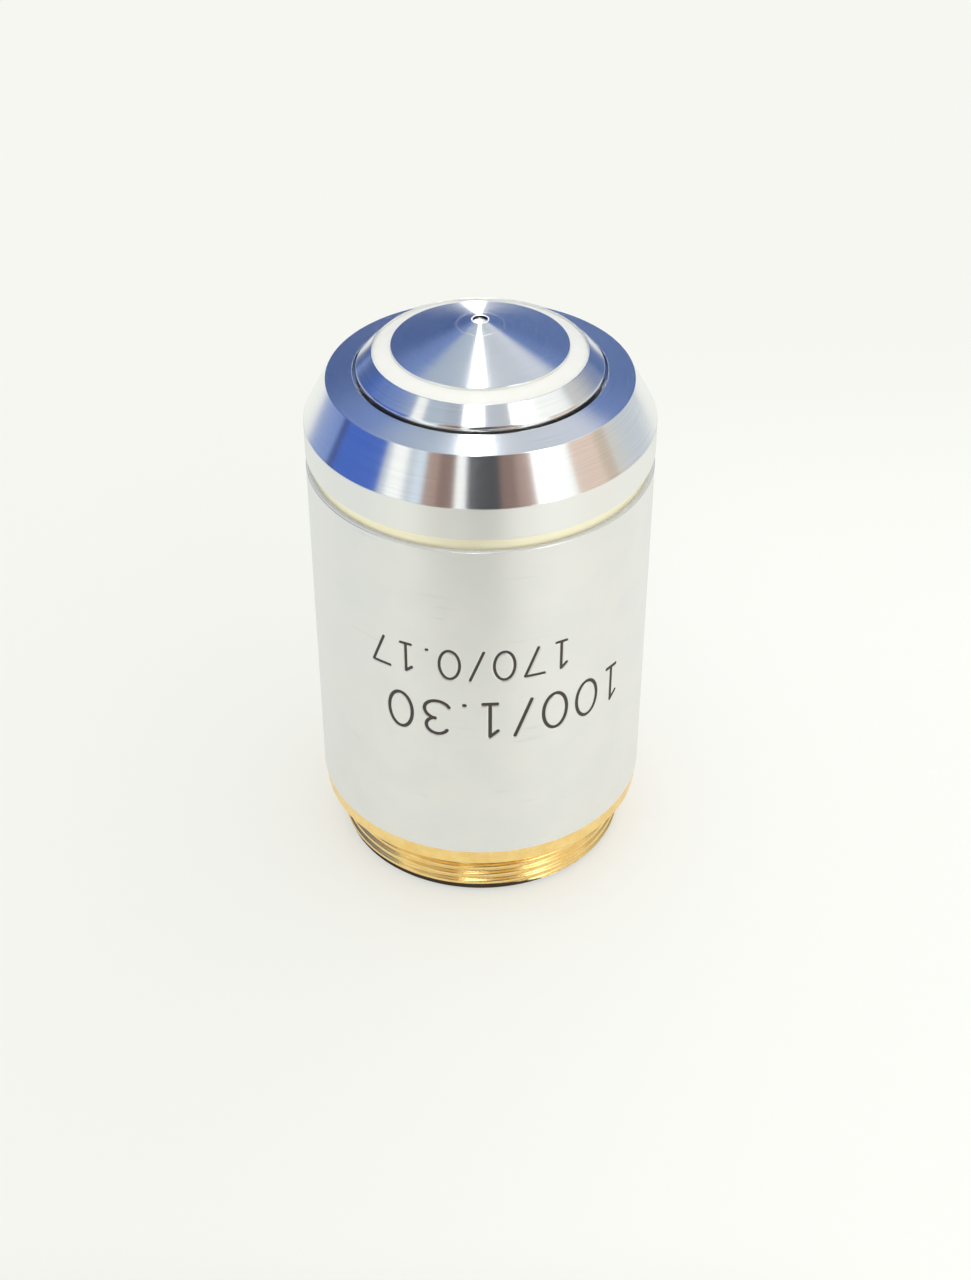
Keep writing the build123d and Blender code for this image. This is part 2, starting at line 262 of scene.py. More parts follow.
# %% Painting the room
to_the_right = ramp(ray_x, -0.1, 0.1)
ceiling = blend_colours(to_the_right, ceiling_left, ceiling_right)
room = blend_colours(ramp(height, 40, 50), haze, ceiling)
panels = [
    ("right bright haze", bright_haze, (120, 178), (40, 55), 8),
    ("right far wall", cream, (90, 180), (-16, 34), 6),
    ("right beige wall", beige, (80, 92), (-16, 24), 5),
    ("right wall", peach, (60, 83), (-16, 24), 6),
    ("right upright", window_white, (36, 62), (-16, 30), 3),
    ("right sun", sun_white, (36, 62), (28, 54), 3),
    ("right top", window_white, (56, 97), (30, 54), 7),
    ("right light curtain", light_brown, (23, 35), (-16, 46), 4),
    ("right curtain", warm_brown, (11, 24), (-16, 46), 4),
    ("dark upright", dark_grey, (-9, 13), (-16, 46), 4),
    ("left light curtain", light_brown, (-38, -26), (-16, 46), 4),
    ("left curtain", warm_brown, (-28, -16), (-16, 46), 4),
    ("left bright edge", cool_white, (-44, -37), (-16, 46), 3),
    ("front lamp", window_white, (-16.5, -9.5), (-16, 40), 2),
]
for name, colour, (left, right), (low, high), soft in panels:
    room = blend_colours(window(compass, left, right, soft) * window(height, low, high, 8), room, colour)
low_blue = blend_colours(to_the_right, low_blue_left, low_blue_right)
wall = blend_colours(ramp(height, 24, 48), low_blue, high_blue)
wall_top = ramp(height + 7 * ramp(compass, 60, 120), 47, 55, 1.0, 0.0)
wall_share = ramp(compass, -118, -100, 1.0, 0.0) + ramp(compass, 98, 142)
room = blend_colours(wall_share * wall_top, room, wall)
right_low_wall = window(compass, 98, 134, 12) * ramp(height, 0, 12, 1.0, 0.0)
room = blend_colours(right_low_wall, room, cool_grey)
left_side = window(compass, -140, -66, 3) * ramp(height, 36, 50, 1.0, 0.0)
side_blue = blend_colours(ramp(height, 12, 34), deep_blue, high_blue)
room = blend_colours(left_side * ramp(compass, -135, -108), room, side_blue)
room = blend_colours(window(compass, -145, -105, 6) * ramp(height, 1, 9, 1.0, 0.0), room, skirting_blue)
room = blend_colours(window(compass, -106, -101, 3) * ramp(height, 20, 30, 1.0, 0.0) * 0.8, room, navy)
left_window = window(compass + 0.5 * height, -53, -40, 3) * ramp(height, 48, 54, 1.0, 0.0)
room = blend_colours(left_window, room, window_white)
towards_front = (0 - ray_y).sum_with("MAXIMUM", 0 - ray_y, 0.0)
lamp_half = 0.022 + 0.018 * ray_z + 0.15 * towards_front
lamp_middle = -0.012 - 0.13 * towards_front
lamp_aside = ray_x - lamp_middle
lamp_reach = lamp_aside.sum_with("ABSOLUTE", lamp_aside) / lamp_half
over_the_front = ramp(height - 62 * ramp(towards_front, 0.0, 0.2), -16, -10)
room = blend_colours(ramp(lamp_reach, 0.8, 1.2, 1.0, 0.0) * over_the_front, room, lamp_white)
room = blend_colours(ramp(lamp_reach, 0.2, 0.5, 1.0, 0.0) * over_the_front, room, lamp_core)
room = blend_colours(ramp(height, -15, -9, 1.0, 0.0), room, floor_white)
print("panels in the room:", [panel[0] for panel in panels])

# %% [markdown]
# A ray that leaves a glossy surface sees the painted room, and a ray straight from the camera sees
# the table's white. Every other ray sees the even white that lights the whole scene.

# %% Who sees what
light_path = sky.nodes.new("ShaderNodeLightPath")
glossy_ray = Pattern(sky, light_path.outputs["Is Glossy Ray"])
plain_light = add_node(sky, "ShaderNodeBackground", None, {"Color": even_white, "Strength": 1.0})
camera_ray = Pattern(sky, light_path.outputs["Is Camera Ray"])
pale = add_node(sky, "ShaderNodeBackground", None, {"Color": (*floor_white, 1.0), "Strength": 1.0})
reflected = add_node(sky, "ShaderNodeBackground", None, {"Color": room, "Strength": 1.0})
mixed = add_node(sky, "ShaderNodeMixShader", None, {0: glossy_ray, 1: plain_light, 2: reflected})
mixed = add_node(sky, "ShaderNodeMixShader", None, {0: camera_ray, 1: mixed, 2: pale})
sky_output = sky.nodes.new("ShaderNodeOutputWorld")
sky.links.new(mixed.socket, sky_output.inputs["Surface"])
bpy.context.scene.view_settings.view_transform = "Standard"
print("nodes in the world's shader:", len(sky.nodes))

# %% [markdown]
# Every finish here starts the same way: a Principled shader, and the place on the piece in
# millimetres from the Object coordinates. A turned finish also needs the distance from the axis,
# because a lathe's marks are rings, and a slow pattern round the axis, because no ring is perfectly
# even. `Finish` holds these and one bump.

# %% What the finishes share
class Finish:
    """A material in the making: its shader, and the patterns that all turned finishes start from."""

    def __init__(self, name, **constants):
        self.material = bpy.data.materials.new(name)
        self.material.use_nodes = True
        self.tree = self.material.node_tree
        self.shader = self.tree.nodes["Principled BSDF"]
        for socket, value in constants.items():
            self.shader.inputs[socket.replace("_", " ")].default_value = value
        place = add_node(self.tree, "ShaderNodeTexCoord", output="Object")
        sockets = {0: place, 1: (1 / MM, 1 / MM, 1 / MM)}
        self.place = add_node(self.tree, "ShaderNodeVectorMath", {"operation": "MULTIPLY"}, sockets)
        parts = self.tree.nodes.new("ShaderNodeSeparateXYZ")
        self.tree.links.new(self.place.socket, parts.inputs[0])
        self.x, self.y, self.z = (Pattern(self.tree, parts.outputs[i]) for i in range(3))
        squares = self.x * self.x + self.y * self.y
        self.radius = squares ** 0.5
        self.turn = self.x.sum_with("ARCTAN2", self.x, self.y)

    def noise(self, scale, detail=2.0, rough=0.5, at=None):
        """Cloudy noise from 0 to 1, with so many clouds to the millimetre."""
        sockets = {"Vector": at or self.place, "Scale": scale, "Detail": detail, "Roughness": rough}
        return add_node(self.tree, "ShaderNodeTexNoise", None, sockets)

    def lathe_marks(self, scale, along=0.0):
        """Noise that is drawn out into rings round the axis; along says how soon a ring changes."""
        parts = {0: self.radius, 1: self.z, 2: self.turn * along}
        ring_place = add_node(self.tree, "ShaderNodeCombineXYZ", None, parts)
        return self.noise(scale, 3.0, 0.6, ring_place)

    def carried(self, name):
        """A number that the piece's own mesh carries from point to point."""
        return add_node(self.tree, "ShaderNodeAttribute", {"attribute_name": name}, output="Fac")

    def specks(self, spacing, size, share):
        """1 in small scattered spots and 0 elsewhere.

        Space is cut into cells of about the spacing, in millimetres, and the given share of them gets a
        round spot of the given radius.
        """
        cells = self.tree.nodes.new("ShaderNodeTexVoronoi")
        cells.inputs["Scale"].default_value = 1 / spacing
        self.tree.links.new(self.place.socket, cells.inputs["Vector"])
        distance = Pattern(self.tree, cells.outputs["Distance"])
        parts = self.tree.nodes.new("ShaderNodeSeparateColor")
        self.tree.links.new(cells.outputs["Color"], parts.inputs[0])
        chosen = ramp(Pattern(self.tree, parts.outputs[0]), 1 - share, 1 - share + 0.01)
        return ramp(distance * spacing, 0.5 * size, size, 1.0, 0.0) * chosen

    def colour(self, value):
        """Link the base colour, or set it where it is the same all over."""
        if isinstance(value, Pattern):
            self.tree.links.new(value.socket, self.shader.inputs["Base Color"])
        else:
            self.shader.inputs["Base Color"].default_value = (*value, 1.0)

    def roughness(self, value):
        """Link the roughness."""
        self.tree.links.new(value.socket, self.shader.inputs["Roughness"])

    def metallic(self, value):
        """Link how far the surface is metal."""
        self.tree.links.new(value.socket, self.shader.inputs["Metallic"])

    def glow(self, value):
        """Link the colour of the surface's own light."""
        self.tree.links.new(value.socket, self.shader.inputs["Emission Color"])

    def bump(self, pattern, depth, strength=1.0):
        """Raise the surface by a pattern times a depth in millimetres."""
        sockets = {"Height": pattern, "Distance": depth * MM, "Strength": strength}
        raised = add_node(self.tree, "ShaderNodeBump", None, sockets)
        self.tree.links.new(raised.socket, self.shader.inputs["Normal"])


# %% [markdown]
# The object stands on a plain pale table top. It is a round sheet that reaches past the view on all
# sides, and it is stage, not part of the object. It ends a quarter of a metre away, because polished
# plating shows the blue wall right down to the table's far edge. In the photograph the shadow is
# faint, because light comes from so many sides, so part of the table's white is its own glow, which
# no shadow takes away. The glow is a little stronger on the right, where the windows are, and weaker
# in front, outside the picture: the table is shaded there, and the satin sleeve mirrors it.

# %% Floor
table_radius = 0.24
table_steps = 96
table_drop = 0.002 * MM
table_angles = np.arange(table_steps) * 2 * math.pi / table_steps
table_circle = np.column_stack([np.cos(table_angles), np.sin(table_angles), 0 * table_angles])
table_edge = table_radius * table_circle
floor_mesh = bpy.data.meshes.new("floor")
floor_mesh.from_pydata(table_edge.tolist(), [], [range(table_steps)])
floor = bpy.data.objects.new("floor", floor_mesh)
bpy.context.scene.collection.objects.link(floor)
floor.location.z = -table_drop

floor_glow = 0.55
window_glow = (1.06, 1.06, 1.03)
shaded_white = linear(150, 149, 144)
table_top = Finish("table_top", Roughness=0.6, Specular_IOR_Level=0.0, Emission_Strength=floor_glow)
table_top.colour(tuple((1 - floor_glow) * channel for channel in floor_white))
window_side = ramp(table_top.x, -25, 30) * ramp(table_top.y, 15, 80, 1.0, 0.0)
glow = blend_colours(window_side, floor_white, window_glow)
shade_across = ramp(table_top.x, -48, -30) * ramp(table_top.x, 14, 24, 1.0, 0.0)
shade = shade_across * ramp(table_top.y, -66, -38, 1.0, 0.0)
table_top.glow(blend_colours(shade, glow, shaded_white))
floor_mesh.materials.append(table_top.material)
print("the table top is", 2 * table_radius, "m wide")

# %% [markdown]
# The outer sleeve and the band of the nose ring are plated brass that was blasted before plating, so
# they are pale and satin, though the turning under the plating still draws their reflections out a
# little. What shows up close is a very fine grain, a few dust specks and the faint smears that
# handling leaves. The sleeve's top edge is a narrow rim painted pale, dull and not metal: a painted
# reflection of something bright, in place of the plating's own mirror. The engraved figures are
# filled with dark paint: the sleeve's mesh carries the distance to the nearest stroke, and the paint
# lies where that distance is below zero. A piece without that number reads zero everywhere, so the
# plain plate gets its own material.

# %% Satin plate
sleeve_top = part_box("outer_sleeve")[1].z / MM
# Heights of the rim at the sleeve's top edge, where a painted reflection takes the place of the plating.
rim_from = sleeve_top - 0.07
rim_whole_from = sleeve_top - 0.03


def satin_plate(name="satin_plate", filled_strokes=False):
    """Blasted and plated brass: pale grey, an even fine grain, faint rings, smears and a few specks."""
    finish = Finish(name, Metallic=1.0, Anisotropic=0.6, Anisotropic_Rotation=0.25)
    smear = finish.noise(0.35, 3.0)
    grain = finish.noise(14.0, 2.0)
    speck = finish.specks(2.2, 0.05, 0.12)
    drawn_smear = ramp(finish.lathe_marks(1.4, 0.9), 0.58, 0.72) * ramp(finish.noise(0.25), 0.5, 0.65)
    clean = blend_colours(ramp(smear, 0.3, 0.7), linear(232, 233, 230), linear(236, 236, 232))
    clean = blend_colours(drawn_smear * 0.3, clean, linear(206, 206, 202))
    plate = blend_colours(speck * 0.5, clean, linear(120, 116, 112))
    roughness = 0.32 + smear * 0.05 + grain * 0.03
    if filled_strokes:
        paint = ramp(finish.carried("from_stroke"), -0.02, 0.02, 1.0, 0.0)
        dark = blend_colours(ramp(grain, 0.3, 0.7), linear(60, 53, 50), linear(76, 68, 63))
        # The pale, dull, non-metal rim at the top edge is a painted reflection of something bright.
        painted_rim_reflection = ramp(finish.z, rim_from, rim_whole_from)
        plate = blend_colours(painted_rim_reflection, blend_colours(paint, plate, dark), linear(222, 223, 220))
        finish.metallic((1 - paint) * (1 - painted_rim_reflection))
        roughness = roughness + 0.25 * paint + 0.3 * painted_rim_reflection
    finish.colour(plate)
    finish.roughness(roughness)
    finish.bump(grain + finish.lathe_marks(6.0, 0.4) * 0.6, 0.0015)
    return finish.material


# %% [markdown]
# The nose ring and the nosepiece are turned with a fine tool and then plated bright. The grooves of
# the tool are too small to see one by one, but they spread a reflection across themselves: that is
# why a lamp over the object draws one bright line down the cone. A constant anisotropy, turned by a
# quarter so that it spreads across the rings, gives this, and a very small bump gives the few rings
# that the eye can tell apart. The nose ring's upright band is blasted like the sleeve, so the finish
# turns satin below the height where the cone starts, which is read from the ring's own points.

# %% Polished plate
ring_points = np.empty(3 * len(nodes["nose_ring"].data.vertices))
nodes["nose_ring"].data.vertices.foreach_get("co", ring_points)
ring_points = ring_points.reshape(-1, 3) / MM
ring_widths = np.hypot(ring_points[:, 0], ring_points[:, 1])
satin_band_top = float(ring_points[ring_widths > ring_widths.max() - 0.02, 2].max())
print("the satin band ends at", round(satin_band_top, 3), "mm")


def polished_plate(name="polished_plate", dark_within=0.0):
    """Fine-turned bright plating, whose reflections are drawn out across the rings of the tool.

    Within the given radius, in millimetres, the colour is turned dark grey, round the front lens.
    """
    finish = Finish(name, Metallic=1.0, Anisotropic=0.85, Anisotropic_Rotation=0.25)
    rings = finish.lathe_marks(9.0, 0.15)
    bright = blend_colours(ramp(rings, 0.3, 0.7), linear(242, 244, 244), linear(249, 250, 249))
    satin = ramp(finish.z, satin_band_top, satin_band_top + 0.04, 1.0, 0.0)
    plate = blend_colours(satin, bright, linear(239, 240, 236))
    if dark_within:
        darkened = ramp(finish.radius, dark_within, dark_within + 0.02, 1.0, 0.0)
        plate = blend_colours(darkened, plate, linear(60, 56, 56))
    finish.colour(plate)
    finish.roughness(0.15 + rings * 0.04 + satin * 0.13)
    finish.bump(rings, 0.0008)
    return finish.material


# %% [markdown]
# The barrel is turned brass, left bare. Brass that has been handled isn't one colour: it darkens a
# little in patches, and it has small pits from the thread die. Its lowest edge, where it stands on the
# table, carries a painted contact shadow of dark brown, and the painted shadow reaches higher on the left.

# %% Turned brass
def turned_brass():
    """Bare turned brass: golden, rings, patches of tarnish, a few pits, painted shadow at the lower edge.
    """
    finish = Finish("turned_brass", Metallic=1.0, Anisotropic=0.85, Anisotropic_Rotation=0.25)
    patches = finish.noise(0.8, 4.0, 0.6)
    rings = finish.lathe_marks(7.0, 0.5)
    pits = finish.specks(1.3, 0.07, 0.12)
    golden = blend_colours(ramp(patches, 0.35, 0.75), linear(253, 222, 150), linear(245, 206, 128))
    golden = blend_colours(pits * 0.5, golden, linear(150, 110, 66))
    # Painted contact shadow: the lowest edge is painted dark brown, less metal and rougher, higher on the
    # left.
    shadow_lowering = ramp(finish.x, -1, 6) * 0.3 + finish.noise(2.0) * 0.2
    painted_contact_shadow = ramp(finish.z + shadow_lowering, 0.70, 0.80, 1.0, 0.0)
    finish.colour(blend_colours(painted_contact_shadow, golden, linear(66, 54, 42)))
    finish.metallic(1 - painted_contact_shadow * 0.8)
    finish.roughness(0.16 + patches * 0.10 + rings * 0.08 + painted_contact_shadow * 0.3)
    finish.bump(rings + patches * 0.5 - pits, 0.004)
    return finish.material


# %% Pale brass
def pale_brass():
    """The ring in the narrow groove: brass with a thin pale plating."""
    finish = Finish("pale_brass", Metallic=1.0, Anisotropic=0.4, Anisotropic_Rotation=0.25)
    rings = finish.lathe_marks(8.0, 0.3)
    finish.colour(blend_colours(ramp(rings, 0.3, 0.7), linear(255, 251, 226), linear(251, 244, 212)))
    finish.roughness(0.30 + rings * 0.1)
    finish.bump(rings, 0.001)
    return finish.material


# %% Cell brass
def cell_brass():
    """The inner cells and the lens tube: brass, a little duller than the outside and evenly turned."""
    finish = Finish("cell_brass", Metallic=1.0, Anisotropic=0.5, Anisotropic_Rotation=0.25)
    rings = finish.lathe_marks(5.0, 0.2)
    finish.colour(blend_colours(ramp(rings, 0.3, 0.7), linear(222, 184, 112), linear(204, 164, 96)))
    finish.roughness(0.30 + rings * 0.12)
    finish.bump(rings, 0.002)
    return finish.material


# %% [markdown]
# The white ring is enamel run into a groove, and it lies a little under the cone's edge. Enamel is a
# paint under a clear skin, so it gets a coat, and its colour is a warm white with very slight clouds.

# %% White enamel
def white_enamel():
    """Warm white enamel under a clear skin, with slight clouds and pinholes."""
    finish = Finish("white_enamel", Coat_Weight=0.3, Coat_Roughness=0.12, Specular_IOR_Level=0.3)
    clouds = finish.noise(0.9, 3.0)
    pinholes = finish.specks(1.2, 0.05, 0.05)
    warm = blend_colours(ramp(clouds, 0.3, 0.7), linear(254, 254, 248), linear(251, 251, 244))
    finish.colour(blend_colours(pinholes * 0.4, warm, linear(170, 164, 150)))
    finish.roughness(0.35 + clouds * 0.1)
    finish.bump(clouds - pinholes, 0.002)
    return finish.material


# %% Black finish
def black_finish():
    """Matt black lacquer on brass, with a fine grain and a little wear where rings were turned."""
    finish = Finish("black_finish", Metallic=0.0, Specular_IOR_Level=0.35)
    grain = finish.noise(10.0, 2.0)
    rings = finish.lathe_marks(4.0, 0.3)
    finish.colour(blend_colours(ramp(rings, 0.62, 0.8), linear(26, 25, 25), linear(58, 52, 46)))
    finish.roughness(0.5 + grain * 0.2)
    finish.bump(grain + rings, 0.002)
    return finish.material


# %% Bright steel
def bright_steel():
    """Drawn steel wire and a small machined screw: cool grey, with drawing marks."""
    finish = Finish("bright_steel", Metallic=1.0)
    marks = finish.noise(6.0, 3.0)
    finish.colour(blend_colours(ramp(marks, 0.3, 0.7), linear(196, 198, 202), linear(176, 178, 184)))
    finish.roughness(0.24 + marks * 0.12)
    finish.bump(marks, 0.001)
    return finish.material


# %% Optical glass
def optical_glass():
    """Clear polished glass with the faint violet of a lens coating, and hardly any dust."""
    finish = Finish("optical_glass", Transmission_Weight=1.0, IOR=1.6,
                    Coat_Weight=1.0, Coat_Roughness=0.02, Coat_IOR=1.9)
    dust = finish.specks(0.8, 0.03, 0.05)
    finish.colour(blend_colours(dust * 0.3, linear(246, 250, 250), linear(200, 200, 196)))
    finish.roughness(0.01 + dust * 0.2)
    return finish.material


makers = [satin_plate, polished_plate, turned_brass, pale_brass, cell_brass, white_enamel,
          black_finish, bright_steel, optical_glass]
finishes = {make.__name__: make() for make in makers}
filled_plate = satin_plate("satin_plate_filled", filled_strokes=True)
tip_dark_radius = 0.50
tip_plate = polished_plate("polished_plate_tip", dark_within=tip_dark_radius)
print("finishes:", sorted(finishes))

# %% [markdown]
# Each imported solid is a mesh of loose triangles. Where it was turned, it has a seam in the half-plane
# y = 0, x > 0, and the points of that seam are the corners of the turner's drawing. `outline_of`
# picks them out, walks along the triangle edges that join them, and drops the points that only lie on
# a straight run. A ring gives a closed outline, and a lens an open one from pole to pole.

# %% Reading a turned outline
on_seam_within = 1e-4
smooth_turn = math.radians(15)


def turns_of(outline, closed):
    """How far the outline turns at each corner, in radians; the ends of an open one don't turn."""
    before = np.roll(outline, 1, axis=0)
    after = np.roll(outline, -1, axis=0)
    inward = outline - before
    onward = after - outline
    cross = inward[:, 0] * onward[:, 1] - inward[:, 1] * onward[:, 0]
    turns = np.arctan2(cross, (inward * onward).sum(axis=1))
    if not closed:
        turns[[0, -1]] = 0
    return turns


def seam_of(node):
    """The corners in a node's seam, in millimetres as (radius, height), and which of them are joined."""
    mesh = nodes[node].data
    points = np.empty(3 * len(mesh.vertices))
    mesh.vertices.foreach_get("co", points)
    points = points.reshape(-1, 3) / MM
    ends = np.empty(2 * len(mesh.edges), int)
    mesh.edges.foreach_get("vertices", ends)
    ends = ends.reshape(-1, 2)
    on_seam = (abs(points[:, 1]) < on_seam_within) & (points[:, 0] > -on_seam_within)
    corners, place = np.unique(np.round(points[:, [0, 2]], 4), axis=0, return_inverse=True)
    pairs = place.ravel()[ends[on_seam[ends].all(axis=1)]]
    pairs = np.unique(np.sort(pairs, axis=1), axis=0)
    off_axis = corners[pairs, 0].max(axis=1) > 10 * on_seam_within
    apart = pairs[:, 0] != pairs[:, 1]
    return np.abs(corners), pairs[off_axis & apart].tolist()


def outline_of(node):
    """The (radius, height) corners of a turned node, walked with the material on the left."""
    corners, pairs = seam_of(node)
    joined = {}
    for a, b in pairs:
        joined.setdefault(a, []).append(b)
        joined.setdefault(b, []).append(a)
    ends = [corner for corner in joined if len(joined[corner]) == 1]
    chain = [min(ends or joined, key=lambda corner: (corners[corner, 1], corners[corner, 0]))]
    while onward := [corner for corner in joined[chain[-1]] if corner not in chain]:
        chain.append(onward[0])
    outline = corners[chain]
    closed = not ends
    if not closed and outline[-1, 0] > 10 * on_seam_within:
        outline = np.vstack([outline, [0, outline[-1, 1]]])
    r, z = outline.T
    area = (r * np.roll(z, -1) - np.roll(r, -1) * z).sum() / 2
    outline = outline if area > 0 else outline[::-1]
    bends = np.abs(turns_of(outline, closed)) > math.radians(0.3)
    if not closed:
        bends[[0, -1]] = True
    return outline[bends], closed


turned_nodes = [node for node in nodes if node not in ("return_spring", "guide_screw")]
for node in turned_nodes:
    drawing, is_ring = outline_of(node)
    print(node, len(drawing), "corners", "ring" if is_ring else "lens")

# %% [markdown]
# A lathe leaves no edge quite sharp, and a knife-sharp edge on a screen looks false, because it never
# catches the light. `eased` replaces each corner by a small arc that touches both runs, and puts one
# more point beside each end of the arc, so that the shading of a long flat isn't pulled round by it.

# %% Easing the corners
largest_share_of_run = 0.3
guard_point_at = 1.4
points_on_lens_arc = 25


def eased(outline, closed, radius, steps=4):
    """The outline with each sharp corner replaced by an arc of the given radius, or less on short runs.

    The arc touches the runs at radius / tan(half the corner's angle) from the corner, and its middle
    lies on the line that halves the angle, at radius / sin(half the angle).
    """
    turns = turns_of(outline, closed)
    points = []
    for i, corner in enumerate(outline):
        if abs(turns[i]) < smooth_turn:
            points.append(corner)
            continue
        back = outline[i - 1] - corner
        ahead = outline[(i + 1) % len(outline)] - corner
        shortest = min(np.linalg.norm(back), np.linalg.norm(ahead))
        back = back / np.linalg.norm(back)
        ahead = ahead / np.linalg.norm(ahead)
        half_angle = (math.pi - abs(turns[i])) / 2
        reach = min(radius / math.tan(half_angle), largest_share_of_run * shortest)
        middle_way = (back + ahead) / np.linalg.norm(back + ahead)
        arc_radius = reach * math.tan(half_angle)
        centre = corner + middle_way * arc_radius / math.sin(half_angle)
        first = corner + back * reach - centre
        angles = np.linspace(0, turns[i], steps + 1)
        second = np.array([-first[1], first[0]])
        arc = [centre + (first * math.cos(a) + second * math.sin(a)) for a in angles]
        guard = guard_point_at * reach
        points += [corner + back * guard, *arc, corner + ahead * guard]
    return np.array(points)


def arced(outline):
    """A lens outline with each coarse surface replaced by close points of the circle through it."""
    sharp = np.abs(turns_of(outline, False)) > smooth_turn
    sharp[[0, -1]] = True
    stops = np.flatnonzero(sharp)
    points = [outline[:1]]
    for start, end in zip(stops[:-1], stops[1:]):
        if end - start == 1:
            points.append(outline[end:end + 1])
            continue
        (x1, y1), (x2, y2), (x3, y3) = outline[[start, (start + end) // 2, end]]
        rows = np.array([[x2 - x1, y2 - y1], [x3 - x2, y3 - y2]])
        first_half = (x2 ** 2 - x1 ** 2 + y2 ** 2 - y1 ** 2) / 2
        second_half = (x3 ** 2 - x2 ** 2 + y3 ** 2 - y2 ** 2) / 2
        centre = np.linalg.solve(rows, np.array([first_half, second_half]))
        from_angle = math.atan2(y1 - centre[1], x1 - centre[0])
        to_angle = math.atan2(y3 - centre[1], x3 - centre[0])
        swing = (to_angle - from_angle + math.pi) % (2 * math.pi) - math.pi
        angles = from_angle + swing * np.linspace(0, 1, points_on_lens_arc)[1:]
        size = math.hypot(x1 - centre[0], y1 - centre[1])
        arc = centre + size * np.column_stack([np.cos(angles), np.sin(angles)])
        arc[-1] = outline[end]
        points.append(arc)
    return np.vstack(points)


nose_drawing, nose_closed = outline_of("nose_ring")
broken_edge = 0.03
print("corners of the nose ring, before and after easing:",
      len(nose_drawing), len(eased(nose_drawing, nose_closed, broken_edge)))

# %% [markdown]
# A turned surface is a grid: one row for each point of the outline and one column for each angle.
# `surface` puts any such grid into a mesh in whole arrays. Its normals come from the grid too, as the
# cross product of the steps to the neighbours, so long flats stay flat and small arcs shade round.

# %% From a grid to a mesh
def grid_normals(points, closed):
    """Unit normals of a grid that goes round in its columns."""
    across = np.roll(points, -1, axis=1) - np.roll(points, 1, axis=1)
    if closed:
        along = np.roll(points, -1, axis=0) - np.roll(points, 1, axis=0)
    else:
        along = np.gradient(points, axis=0)
    normals = np.cross(across, along)
    return normals / np.maximum(np.linalg.norm(normals, axis=2, keepdims=True), 1e-12)


def surface(name, points, closed):
    """A mesh object from a grid of points in millimetres, rows by columns by 3.

    An end row that lies on the axis becomes a pole.
    """
    rows, columns = points.shape[:2]
    normals = grid_normals(points, closed)
    index = np.arange(rows * columns).reshape(rows, columns)
    poles = [] if closed else [row for row in (0, rows - 1) if np.ptp(points[row], axis=0).max() < 1e-6]
    for row in poles:
        index[row] = index[row, 0]
        normals[row] = (0, 0, np.sign(points[row, 0, 2] - points[rows // 2, 0, 2]) or 1)
    upper = np.roll(index, -1, axis=0) if closed else index[1:]
    lower = index if closed else index[:-1]
    corners = [lower, np.roll(lower, -1, axis=1), np.roll(upper, -1, axis=1), upper]
    quads = np.stack(corners, axis=-1).reshape(-1, 4)
    kept, place = np.unique(index, return_inverse=True)
    quads = np.searchsorted(kept, quads)
    folded_low = quads[:, 0] == quads[:, 1]
    folded_high = quads[:, 2] == quads[:, 3]
    faces = quads[~folded_low & ~folded_high].tolist()
    faces += quads[folded_low][:, [0, 2, 3]].tolist() + quads[folded_high][:, [0, 1, 2]].tolist()
    mesh = bpy.data.meshes.new(name)
    mesh.from_pydata((points.reshape(-1, 3)[kept] * MM).tolist(), [], faces)
    mesh.polygons.foreach_set("use_smooth", np.ones(len(faces), bool))
    mesh.normals_split_custom_set_from_vertices(normals.reshape(-1, 3)[kept].tolist())
    mesh.update()
    piece = bpy.data.objects.new(name, mesh)
    bpy.context.scene.collection.objects.link(piece)
    return piece


def spun(outline, angles):
    """The grid of an outline spun round Z: x = r cos angle, y = r sin angle, z = height."""
    radius, height = outline[:, :1], outline[:, 1:]
    return np.stack([radius * np.cos(angles), radius * np.sin(angles), height + 0 * angles], axis=-1)


def even_angles(steps):
    """Angles that share a full turn equally."""
    return np.arange(steps) * 2 * math.pi / steps


slot_of_node = {part["node"]: part["material_slot"] for part in frame["record"]["subparts"]}


def dress(piece, node):
    """The piece stands for the node: it gets the finish of its slot and moves with its body."""
    slot = slot_of_node[node]
    piece.data.materials.clear()
    piece.data.materials.append(finishes[slot])
    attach(piece, body_of_node[node])
    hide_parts(node)
    triangles = sum(len(face.vertices) - 2 for face in piece.data.polygons)
    print(piece.name, "for", node, "in", slot, "with", triangles, "triangles")
    return piece


# %% [markdown]
# Most pieces are plain turned rings, and one loop makes them all. What shows on the outside gets a
# column for about every degree of the turn, and what is hidden inside the barrel gets fewer. The top
# of the white enamel is lowered a little, because it has sunk in its groove, and the front cell gets
# the plating that is dark round the front lens. The lenses go through `arced` first, so that their
# surfaces are true spheres again.

# %% Plain turned pieces
outer_steps = 384
inner_steps = 160
outer_rings = ["groove_ring", "nose_ring", "nosepiece", "white_band", "front_cell"]
inner_rings = ["meniscus_cell", "middle_cell", "cell_spacer", "rear_cell", "aperture_stop", "parfocal_shim"]
lenses = ["front_lens", "meniscus_lens", "middle_crown", "middle_flint", "rear_crown", "rear_flint"]
enamel_sunk = 0.16

for node in outer_rings + inner_rings:
    steps = outer_steps if node in outer_rings else inner_steps
    drawing, is_ring = outline_of(node)
    if node == "white_band":
        tops = [
            height == drawing[np.isclose(drawing[:, 0], radius), 1].max()
            for radius, height in drawing
        ]
        drawing[tops, 1] -= enamel_sunk
    broken = eased(drawing, is_ring, broken_edge)
    piece = surface(node + "_turned", spun(broken, even_angles(steps)), True)
    dress(piece, node)
    if node == "front_cell":
        piece.data.materials[0] = tip_plate

for node in lenses:
    drawing, _ = outline_of(node)
    broken = eased(arced(drawing), False, broken_edge)
    piece = surface(node + "_ground", spun(broken, even_angles(inner_steps)), False)
    dress(piece, node)

